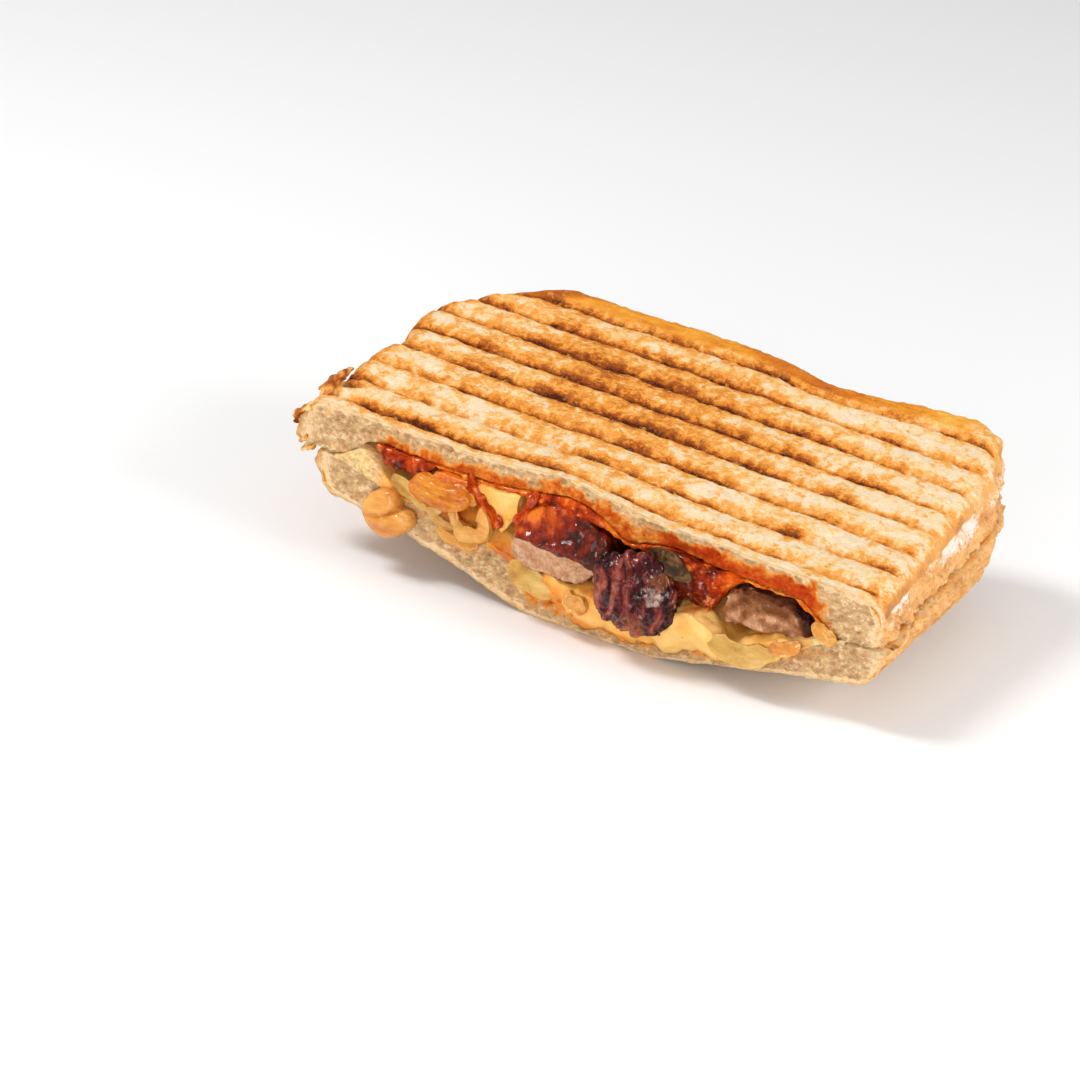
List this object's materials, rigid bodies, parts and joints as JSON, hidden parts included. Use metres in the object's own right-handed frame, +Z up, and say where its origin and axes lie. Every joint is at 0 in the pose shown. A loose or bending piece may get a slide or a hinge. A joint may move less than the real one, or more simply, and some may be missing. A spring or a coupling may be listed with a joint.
{
  "type": "steak melt half",
  "caption": "Half of a pressed and grilled steak melt: ridged toasted bread round strips of steak, melted cheese, tomato sauce and fried onion, with the filling open at the cut.",
  "frame": {"origin": "middle of the object's box in plan, on the surface that the half rests on", "axes": "+X along the knife cut, from the rounded end of the bread to the square end; +Y from the cut to the back crust; +Z up"},
  "size_m": [0.1484, 0.0978, 0.0432],
  "materials": {
    "toasted_bread": "dry toasted crust, golden on the ridges and brown in the grooves",
    "melted_cheese": "smooth oily melted cheese",
    "tomato_sauce": "glossy cooked tomato",
    "cooked_beef": "moist sliced beef with sauce on top",
    "seared_beef": "moist dark seared beef",
    "olive_flesh": "glossy",
    "fried_onion": "translucent and oily"
  },
  "bodies": {
    "root": {"bread_top": "toasted_bread", "bread_bottom": "toasted_bread", "cheese_bed": "melted_cheese", "cheese_fold": "melted_cheese", "sauce": "tomato_sauce", "steak_left": "cooked_beef", "steak_right": "cooked_beef", "steak_seared": "seared_beef", "olive_slice": "olive_flesh", "onion_hook": "fried_onion", "onion_curl": "fried_onion", "onion_tail": "fried_onion", "onion_strip": "fried_onion", "onion_petal": "fried_onion", "onion_wedge": "fried_onion", "onion_cube": "fried_onion", "onion_leaf": "fried_onion", "onion_end": "fried_onion"}
  },
  "joints": []
}
